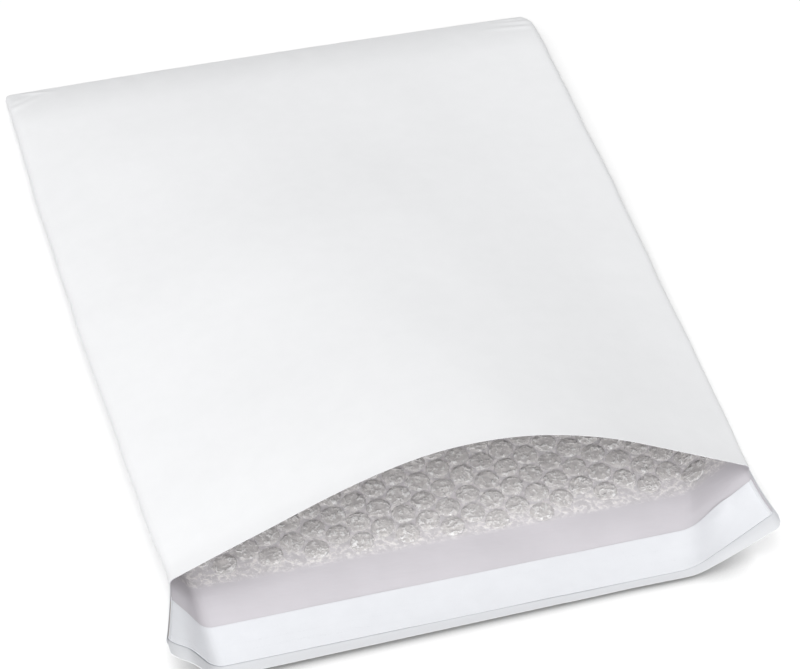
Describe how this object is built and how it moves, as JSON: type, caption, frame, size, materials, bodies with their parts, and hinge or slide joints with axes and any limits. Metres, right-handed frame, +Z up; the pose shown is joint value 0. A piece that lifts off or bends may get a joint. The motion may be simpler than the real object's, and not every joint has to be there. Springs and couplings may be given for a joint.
{
  "type": "padded envelope",
  "caption": "Padded mailing envelope lying on its back, mouth arched open: white paper cover, bubble film lining, and a peel-off strip over the adhesive on its lip.",
  "frame": {"origin": "under the middle of the envelope's box, on the surface it lies on", "axes": "+Y from the mouth to the sealed end, +X across the panels, +Z up out of the front panel"},
  "size_m": [0.2288, 0.3287, 0.055],
  "materials": {
    "cover_paper": "smooth matte white paper with a faint fibre texture",
    "bubble_film": "clear glossy polyethylene bubble film over a translucent grey backing film",
    "adhesive": "pale tacky hot-melt adhesive",
    "liner_paper": "white release paper with a satin silicone coat"
  },
  "bodies": {
    "root": {"outer_cover": "cover_paper", "bubble_lining": "bubble_film", "adhesive_strip": "adhesive", "release_liner": "liner_paper"}
  },
  "joints": []
}
